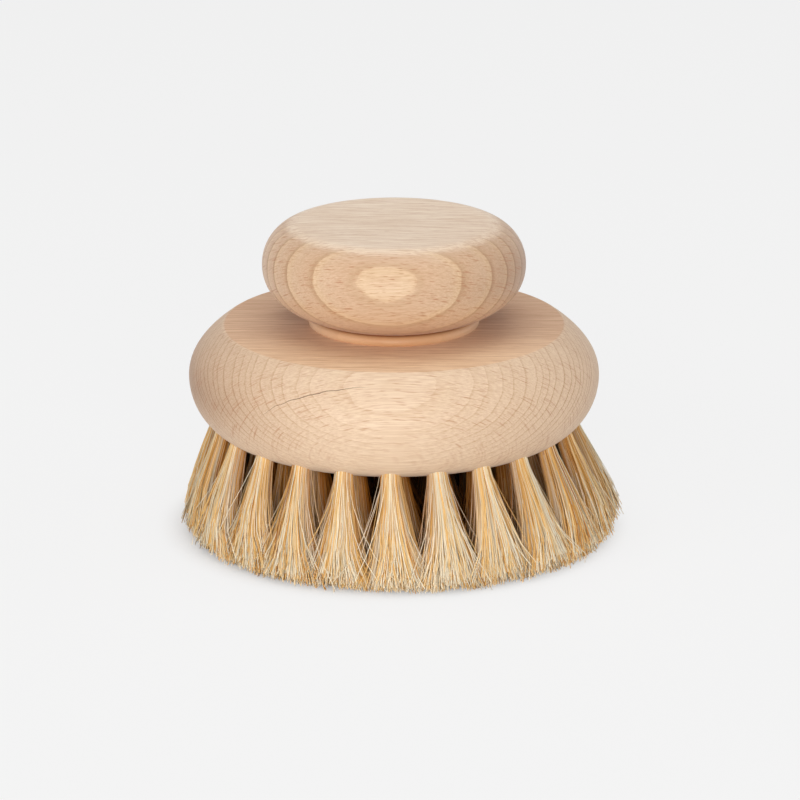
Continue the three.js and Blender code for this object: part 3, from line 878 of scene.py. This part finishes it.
# From the root inside the hole straight down the splayed axis to the trimmed tips
root_inset = add(hairs, "ShaderNodeMath", {
    0: given.outputs["Root depth"], 1: given.outputs["Splay slope"],
}, operation="MULTIPLY")
root_out = add(hairs, "ShaderNodeMath", {
    0: out_place, 1: given.outputs["Root radius"], 2: given.outputs["Ring radius"],
}, operation="MULTIPLY_ADD")
root_front = add(hairs, "ShaderNodeMath", {0: root_inset, 1: root_out}, operation="SUBTRACT")
root_side = add(hairs, "ShaderNodeMath", {
    0: side_place, 1: given.outputs["Root radius"],
}, operation="MULTIPLY")
root_height = add(hairs, "ShaderNodeMath", {
    0: given.outputs["Mouth height"], 1: given.outputs["Root depth"],
}, operation="ADD")
root = add(hairs, "ShaderNodeCombineXYZ", {"X": root_side, "Y": root_front, "Z": root_height})
shortness = add(hairs, "ShaderNodeMath", {0: chance["shortness"], 1: 2.0}, operation="POWER")
short = add(hairs, "ShaderNodeMath", {0: lock.outputs["Z"], 1: 0.8, 2: shortness}, operation="MULTIPLY_ADD")
short_share = add(hairs, "ShaderNodeMath", {0: short, 1: 0.0}, operation="MAXIMUM")
lift = add(hairs, "ShaderNodeMath", {
    0: short_share, 1: given.outputs["Tip unevenness"],
}, operation="MULTIPLY")
# The outermost hairs of a splayed tuft end a little higher, so the brush's lower edge is rounded
outer_place = add(hairs, "ShaderNodeMath", {0: out_place, 1: 0.1}, operation="ADD")
outer_share = add(hairs, "ShaderNodeMath", {0: outer_place, 1: 0.0}, operation="MAXIMUM")
outer = add(hairs, "ShaderNodeMath", {0: outer_share, 1: 1.5}, operation="POWER")
raised = add(hairs, "ShaderNodeMath", {
    0: outer, 1: given.outputs["Tip rounding"], 2: lift,
}, operation="MULTIPLY_ADD")
drop = add(hairs, "ShaderNodeMath", {0: root_height, 1: raised}, operation="SUBTRACT")
drop_out = add(hairs, "ShaderNodeMath", {0: drop, 1: given.outputs["Splay slope"]}, operation="MULTIPLY")
fall_front = add(hairs, "ShaderNodeMath", {0: drop_out, 1: -1.0}, operation="MULTIPLY")
fall_down = add(hairs, "ShaderNodeMath", {0: drop, 1: -1.0}, operation="MULTIPLY")
fall = add(hairs, "ShaderNodeCombineXYZ", {"Y": fall_front, "Z": fall_down})
fallen = add(hairs, "ShaderNodeVectorMath", {"Vector": fall, "Scale": along}, operation="SCALE")
hanging = add(hairs, "ShaderNodeVectorMath", {0: root, 1: fallen}, operation="ADD")
bend = add(hairs, "ShaderNodeMath", {0: along, 1: chance["bend"]}, operation="POWER")
fanned = add(hairs, "ShaderNodeVectorMath", {"Vector": fan, "Scale": bend}, operation="SCALE")
leaning = add(hairs, "ShaderNodeVectorMath", {0: hanging, 1: fanned}, operation="ADD")
# A tuft bows outward, most at two thirds of its length, where the share is 4 / 27
to_tip = add(hairs, "ShaderNodeMath", {0: 1.0, 1: along}, operation="SUBTRACT")
bow_share = add(hairs, "ShaderNodeMath", {0: along_squared, 1: to_tip}, operation="MULTIPLY")
bow_front = add(hairs, "ShaderNodeMath", {0: bow_share, 1: -27 / 4}, operation="MULTIPLY")
bow_size = add(hairs, "ShaderNodeMath", {0: bow_front, 1: given.outputs["Bow"]}, operation="MULTIPLY")
bow_move = add(hairs, "ShaderNodeCombineXYZ", {"Y": bow_size})
bowed = add(hairs, "ShaderNodeVectorMath", {0: leaning, 1: bow_move}, operation="ADD")
# The last third of a hair curls its own way, and a stray hair curls more
curl = add(hairs, "ShaderNodeCombineXYZ", {"X": chance["curl sideways"], "Y": chance["curl outward"]})
curl_most = add(hairs, "ShaderNodeMath", {0: stray_share, 1: 1.5, 2: 1.0}, operation="MULTIPLY_ADD")
curl_share = add(hairs, "ShaderNodeMath", {0: along, 1: 4.0}, operation="POWER")
curl_here = add(hairs, "ShaderNodeMath", {0: curl_share, 1: curl_most}, operation="MULTIPLY")
curl_size = add(hairs, "ShaderNodeMath", {0: curl_here, 1: given.outputs["Curl"]}, operation="MULTIPLY")
curled = add(hairs, "ShaderNodeVectorMath", {"Vector": curl, "Scale": curl_size}, operation="SCALE")
path = add(hairs, "ShaderNodeVectorMath", {0: bowed, 1: curled}, operation="ADD")

# Slow waves that close neighbours share, wider towards the tip, about 7 mm across and 11 mm long
waves_per_metre = (150.0, 150.0, 90.0)
wave_place = add(hairs, "ShaderNodeVectorMath", {0: path, 1: waves_per_metre}, operation="MULTIPLY")
wave_lock = add(hairs, "ShaderNodeVectorMath", {"Vector": lock_space, "Scale": 1.3}, operation="SCALE")
wave_space = add(hairs, "ShaderNodeVectorMath", {0: wave_place, 1: wave_lock}, operation="ADD")
waves = add(hairs, "ShaderNodeTexNoise", {"Vector": wave_space, "Scale": 1.0, "Detail": 1.0})
wave = add(hairs, "ShaderNodeVectorMath", {0: waves.outputs["Color"], 1: noise_middle}, operation="SUBTRACT")
wave_size = add(hairs, "ShaderNodeMath", {0: along, 1: given.outputs["Wave"]}, operation="MULTIPLY")
wave_most = add(hairs, "ShaderNodeCombineXYZ", {"X": wave_size, "Y": wave_size})
wave_move = add(hairs, "ShaderNodeVectorMath", {0: wave, 1: wave_most}, operation="MULTIPLY")
waved = add(hairs, "ShaderNodeVectorMath", {0: path, 1: wave_move}, operation="ADD")
placed = add(hairs, "ShaderNodeVectorRotate", {"Vector": waved, "Angle": turn}, rotation_type="Z_AXIS")
# The whole brush is combed a little to one side
comb_share = add(hairs, "ShaderNodeMath", {0: along, 1: 1.3}, operation="POWER")
combed = add(hairs, "ShaderNodeVectorMath", {
    "Vector": given.outputs["Comb"], "Scale": comb_share,
}, operation="SCALE")
place = add(hairs, "ShaderNodeVectorMath", {0: placed, 1: combed}, operation="ADD")
hair_count = add(hairs, "ShaderNodeMath", {
    0: given.outputs["Tufts"], 1: given.outputs["Hairs"],
}, operation="MULTIPLY")
point_count = add(hairs, "ShaderNodeMath", {0: hair_count, 1: given.outputs["Points"]}, operation="MULTIPLY")
beads = add(hairs, "GeometryNodePoints", {"Count": point_count, "Position": place})

# The tufts differ a little in tone; those at the brush's sides are browner with painted shade, and strays
# and tips are lighter with painted light
double_turn = add(hairs, "ShaderNodeMath", {0: turn, 1: 2.0}, operation="MULTIPLY")
frontness = add(hairs, "ShaderNodeMath", {0: double_turn}, operation="COSINE")
tuft_tone_with_side_shade = add(hairs, "ShaderNodeMath", {
    0: frontness, 1: 0.07, 2: chance["tuft tone"],
}, operation="MULTIPLY_ADD")
lock_tone = add(hairs, "ShaderNodeMath", {
    0: lock.outputs["Z"], 1: 0.8, 2: tuft_tone_with_side_shade,
}, operation="MULTIPLY_ADD")
strand_tone = add(hairs, "ShaderNodeMath", {
    0: strand.outputs["X"], 1: 2.1, 2: lock_tone,
}, operation="MULTIPLY_ADD")
hair_tone = add(hairs, "ShaderNodeMath", {0: strand_tone, 1: chance["hair tone"]}, operation="ADD")
tone_with_painted_stray_light = add(hairs, "ShaderNodeMath", {0: stray_share, 1: 0.3, 2: hair_tone}, operation="MULTIPLY_ADD")
tone_with_painted_tip_light = add(hairs, "ShaderNodeMath", {0: along_squared, 1: 0.08, 2: tone_with_painted_stray_light}, operation="MULTIPLY_ADD")
toned = add(hairs, "GeometryNodeStoreNamedAttribute", {
    "Geometry": beads, "Name": "tone", "Value": tone_with_painted_tip_light,
}, data_type="FLOAT", domain="POINT")
# Painted shade, less of it towards the tips: the inner side of a tuft is darkened as if shaded by its outer
# side, and its flanks as if they stood in its neighbours' shade
inner_place = add(hairs, "ShaderNodeMath", {0: out_place, 1: -0.6, 2: 0.5}, operation="MULTIPLY_ADD")
inner_share = add(hairs, "ShaderNodeMath", {0: inner_place, 1: 0.0}, operation="MAXIMUM")
inner_shade = add(hairs, "ShaderNodeMath", {
    0: inner_share, 1: given.outputs["Inner shade"], 2: given.outputs["Shade"],
}, operation="MULTIPLY_ADD")
flank = add(hairs, "ShaderNodeMath", {0: side_place, 1: side_place}, operation="MULTIPLY")
flank_shade = add(hairs, "ShaderNodeMath", {0: flank, 1: 0.32, 2: inner_shade}, operation="MULTIPLY_ADD")
strand_shade_share = add(hairs, "ShaderNodeMath", {0: strand.outputs["Y"], 1: 0.0}, operation="MAXIMUM")
strand_shade = add(hairs, "ShaderNodeMath", {
    0: strand_shade_share, 1: 2.1, 2: flank_shade,
}, operation="MULTIPLY_ADD")
hair_shade = add(hairs, "ShaderNodeMath", {0: strand_shade, 1: chance["shade"]}, operation="MULTIPLY")
tip_light = add(hairs, "ShaderNodeMath", {0: along_squared, 1: 0.72}, operation="MULTIPLY")
shade_left = add(hairs, "ShaderNodeMath", {0: 1.0, 1: tip_light}, operation="SUBTRACT")
depth = add(hairs, "ShaderNodeMath", {0: hair_shade, 1: shade_left}, operation="MULTIPLY")
shaded = add(hairs, "GeometryNodeStoreNamedAttribute", {
    "Geometry": toned, "Name": "shade", "Value": depth,
}, data_type="FLOAT", domain="POINT")
# Light scatters through a bundle of fine hair, so its hairs are shaded together as one round bundle,
# which leans outward more and more towards the tips and so faces upward there
bundle_front = add(hairs, "ShaderNodeMath", {0: -0.6, 1: out_place}, operation="SUBTRACT")
bundle_up = add(hairs, "ShaderNodeMath", {0: along, 1: 0.65, 2: -0.1}, operation="MULTIPLY_ADD")
bundle_side = add(hairs, "ShaderNodeCombineXYZ", {"X": side_place, "Y": bundle_front, "Z": bundle_up})
bundle_face = add(hairs, "ShaderNodeVectorMath", {0: bundle_side}, operation="NORMALIZE")
bundle_way = add(hairs, "ShaderNodeVectorRotate", {
    "Vector": bundle_face, "Angle": turn,
}, rotation_type="Z_AXIS")
faced = add(hairs, "GeometryNodeStoreNamedAttribute", {
    "Geometry": shaded, "Name": "bundle way", "Value": bundle_way,
}, data_type="FLOAT_VECTOR", domain="POINT")
threads = add(hairs, "GeometryNodePointsToCurves", {
    "Points": faced, "Curve Group ID": hair, "Weight": along,
})
# A hair is a three-sided tube that is thinner by three tenths at its tip
spline = add(hairs, "GeometryNodeSplineParameter")
taper = add(hairs, "ShaderNodeMath", {0: spline.outputs["Factor"], 1: 0.3}, operation="MULTIPLY")
thickness = add(hairs, "ShaderNodeMath", {0: 1.0, 1: taper}, operation="SUBTRACT")
thinned = add(hairs, "GeometryNodeSetCurveRadius", {"Curve": threads, "Radius": thickness})
ring_of_three = add(hairs, "GeometryNodeCurvePrimitiveCircle", {
    "Resolution": 3, "Radius": given.outputs["Hair radius"],
})
tubes = add(hairs, "GeometryNodeCurveToMesh", {
    "Curve": thinned, "Profile Curve": ring_of_three.outputs["Curve"], "Fill Caps": True,
})
rounded = add(hairs, "GeometryNodeSetShadeSmooth", {"Geometry": tubes})
own_way = add(hairs, "GeometryNodeInputNormal")
shared_way = add(hairs, "GeometryNodeInputNamedAttribute", {"Name": "bundle way"}, data_type="FLOAT_VECTOR")
mixed_way = add(hairs, "ShaderNodeMix", {
    "Factor": 0.6, "A": own_way, "B": shared_way.outputs[0],
}, data_type="VECTOR")
mixed_face = add(hairs, "ShaderNodeVectorMath", {0: mixed_way.outputs[1]}, operation="NORMALIZE")
bundled = add(hairs, "GeometryNodeSetMeshNormal", {
    "Mesh": rounded, "Custom Normal": mixed_face,
}, mode="FREE", domain="POINT")
real = add(hairs, "GeometryNodeRealizeInstances", {"Geometry": bundled})
covered = add(hairs, "GeometryNodeSetMaterial", {"Geometry": real, "Material": given.outputs["Material"]})
hairs.links.new(covered.outputs["Geometry"], made.inputs["Geometry"])

# How the hair of each ring lies: hairs in a tuft, points in a hair, how far in millimetres the tips fan out
# across the ring and along it, how much higher the outermost ones end, how far the tuft bows outward,
# and how much painted shade darkens the ring
ring_hair = [
    (900, 6, 2.6, 5.8, 4.6, 1.3, 0.0),
    (500, 6, 4.4, 4.8, 0.0, 0.0, 0.6),
    (520, 5, 4.8, 5.6, 0.0, 0.0, 1.7),
    (520, 5, 4.8, 5.4, 0.0, 0.0, 1.8),
    (520, 5, 4.8, 4.8, 0.0, 0.0, 1.8),
]
# A real hair is about 0.15 mm thick; it is drawn a little thicker, so that single hairs show
hair_radius = 0.095 * MM
bundle_squeeze = 0.25 * MM
# Pieces of hair: name, solid that it stands for, ring, first tuft and tufts
hair_pieces = [
    ("outer_hair_front_right", "outer_tufts", 0, 0, 6),
    ("outer_hair_back_right", "outer_tufts", 0, 6, 6),
    ("outer_hair_back_left", "outer_tufts", 0, 12, 6),
    ("outer_hair_front_left", "outer_tufts", 0, 18, 6),
    ("second_hair_right", "second_tufts", 1, 0, 10),
    ("second_hair_left", "second_tufts", 1, 10, 10),
    ("third_hair", "inner_tufts", 2, 0, 12),
    ("inner_hair", "inner_tufts", 3, 0, 6),
    ("centre_hair", "inner_tufts", 4, 0, 1),
]
for seed, (name, node, ring_number, first, tufts) in enumerate(hair_pieces):
    count, points, fan_out, fan_along, rounding, bow, inside = ring_hair[ring_number]
    in_ring, first_turn, radius, splay = rings[ring_number]
    piece = bpy.data.objects.new(name, bpy.data.meshes.new(name))
    bpy.context.collection.objects.link(piece)
    shaped_by(piece, hairs, {
        "Tufts": tufts,
        "First tuft": first,
        "Tufts in ring": in_ring,
        "Hairs": count,
        "Points": points,
        "Ring radius": radius,
        "Mouth height": mouth_height(radius),
        "Splay slope": math.tan(math.radians(splay)),
        "First turn": math.radians(first_turn),
        "Root radius": tuft_diameter / 2 - bundle_squeeze,
        "Root depth": 4 * MM,
        "Fan out": fan_out * MM,
        "Fan along": fan_along * MM,
        "Stray": 10 * MM,
        "Bow": bow * MM,
        "Curl": 1.8 * MM,
        "Wave": 2.8 * MM,
        "Tip unevenness": 2.4 * MM,
        "Tip rounding": rounding * MM,
        "Comb": (1.8 * MM, -1.5 * MM, 0.0),
        "Hair radius": hair_radius,
        "Shade": inside,
        "Inner shade": 0.5,
        "Seed": 100 * seed,
        "Material": horsehair,
    })
    made_plain(piece)
    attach(piece, "root")
    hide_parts(node)

# The studio: a pale floor, a pale surround, and wide soft light from the front and from above.
# The camera sees the floor and the surround as one even pale grey; the brush's shadow stays faint on it.
floor_half = 4
plain_radius = 46 * MM
even_radius = 62 * MM


def seen_by_camera(tree):
    """1 for rays that the camera sends out, straight, by a reflection or through something clear, else 0."""
    ray = add(tree, "ShaderNodeLightPath")
    seen = add(tree, "ShaderNodeMath", {
        0: ray.outputs["Is Camera Ray"], 1: ray.outputs["Is Glossy Ray"],
    }, operation="MAXIMUM")
    return add(tree, "ShaderNodeMath", {0: seen, 1: ray.outputs["Is Transmission Ray"]}, operation="MAXIMUM")


floor_mesh = bpy.data.meshes.new("floor")
floor_corners = [(x * floor_half, y * floor_half, 0) for x, y in ((-1, -1), (1, -1), (1, 1), (-1, 1))]
floor_mesh.from_pydata(floor_corners, [], [(0, 1, 2, 3)])
floor = bpy.data.objects.new("floor", floor_mesh)
bpy.context.collection.objects.link(floor)
pale_floor = bpy.data.materials.new("pale floor")
pale_floor.use_nodes = True
tree = pale_floor.node_tree
tree.nodes.clear()
matt = add(tree, "ShaderNodeBsdfDiffuse", {"Color": linear("#F6F6F6")})
even = add(tree, "ShaderNodeEmission", {"Color": linear("#F7F7F7"), "Strength": 1.0})
# Under the brush the floor is left plain, in the brush's full shadow
coords = add(tree, "ShaderNodeTexCoord")
from_axis = add(tree, "ShaderNodeVectorMath", {0: coords.outputs["Object"]}, operation="LENGTH")
evenness = add(tree, "ShaderNodeMapRange", {
    "Value": from_axis.outputs["Value"],
    "From Min": plain_radius,
    "From Max": even_radius,
    "To Min": 0.0,
    "To Max": 0.86,
}, interpolation_type="SMOOTHSTEP")
share = add(tree, "ShaderNodeMath", {0: seen_by_camera(tree), 1: evenness}, operation="MULTIPLY")
floor_look = add(tree, "ShaderNodeMixShader", {0: share, 1: matt, 2: even})
add(tree, "ShaderNodeOutputMaterial", {"Surface": floor_look})
floor_mesh.materials.append(pale_floor)

world = bpy.data.worlds.new("studio")
bpy.context.scene.world = world
world.use_nodes = True
tree = world.node_tree
tree.nodes.clear()
fill = add(tree, "ShaderNodeBackground", {"Color": linear("#FFFFFF"), "Strength": 0.2})
surround = add(tree, "ShaderNodeBackground", {"Color": linear("#F3F3F3"), "Strength": 1.0})
world_look = add(tree, "ShaderNodeMixShader", {0: seen_by_camera(tree), 1: fill, 2: surround})
add(tree, "ShaderNodeOutputWorld", {"Surface": world_look})

lamp_aim_height = 45 * MM


def soft_lamp(name, place, size, power):
    """A square area lamp that faces the brush's axis."""
    lamp = bpy.data.lights.new(name, "AREA")
    lamp.shape = "SQUARE"
    lamp.size = size
    lamp.energy = power
    holder = bpy.data.objects.new(name, lamp)
    bpy.context.collection.objects.link(holder)
    holder.location = place
    x, y, z = place
    tip = math.atan2(math.hypot(x, y), z - lamp_aim_height)
    holder.rotation_euler = (tip, 0, math.atan2(y, x) + math.pi / 2)


soft_lamp("front_softbox", (0.0, -1.38, 0.32), size=0.9, power=11.9)
soft_lamp("top_softbox", (0.0, 0.05, 1.4), size=1.2, power=7.4)
soft_lamp("left_softbox", (-1.05, -0.85, 0.55), size=0.9, power=4.8)
soft_lamp("right_softbox", (1.3, 0.0, 0.5), size=0.9, power=2.3)

# The camera stands 1.2 m away with a long lens and looks down at 17.4 degrees.
# The middle of the block's top falls on the same pixel of the picture as in the photograph.
scene = bpy.context.scene
elevation = math.radians(17.4)
away = 1.2
picture_pixels = 800
pixels_per_metre = 3915.0
axis_x, top_y = 394.0, 322.4
sensor_mm = 36.0
camera_data = bpy.data.cameras.new("camera")
camera_data.sensor_width = sensor_mm
camera_data.lens = pixels_per_metre * away * sensor_mm / picture_pixels
camera_data.clip_end = 50
camera = bpy.data.objects.new("camera", camera_data)
bpy.context.collection.objects.link(camera)
right = (picture_pixels / 2 - axis_x) / pixels_per_metre
up = (top_y - picture_pixels / 2) / pixels_per_metre
target = (right, up * math.sin(elevation), block_top + up * math.cos(elevation))
camera.location = (
    target[0],
    target[1] - away * math.cos(elevation),
    target[2] + away * math.sin(elevation),
)
camera.rotation_euler = (math.pi / 2 - elevation, 0, 0)
scene.camera = camera
scene.view_settings.view_transform = "Standard"
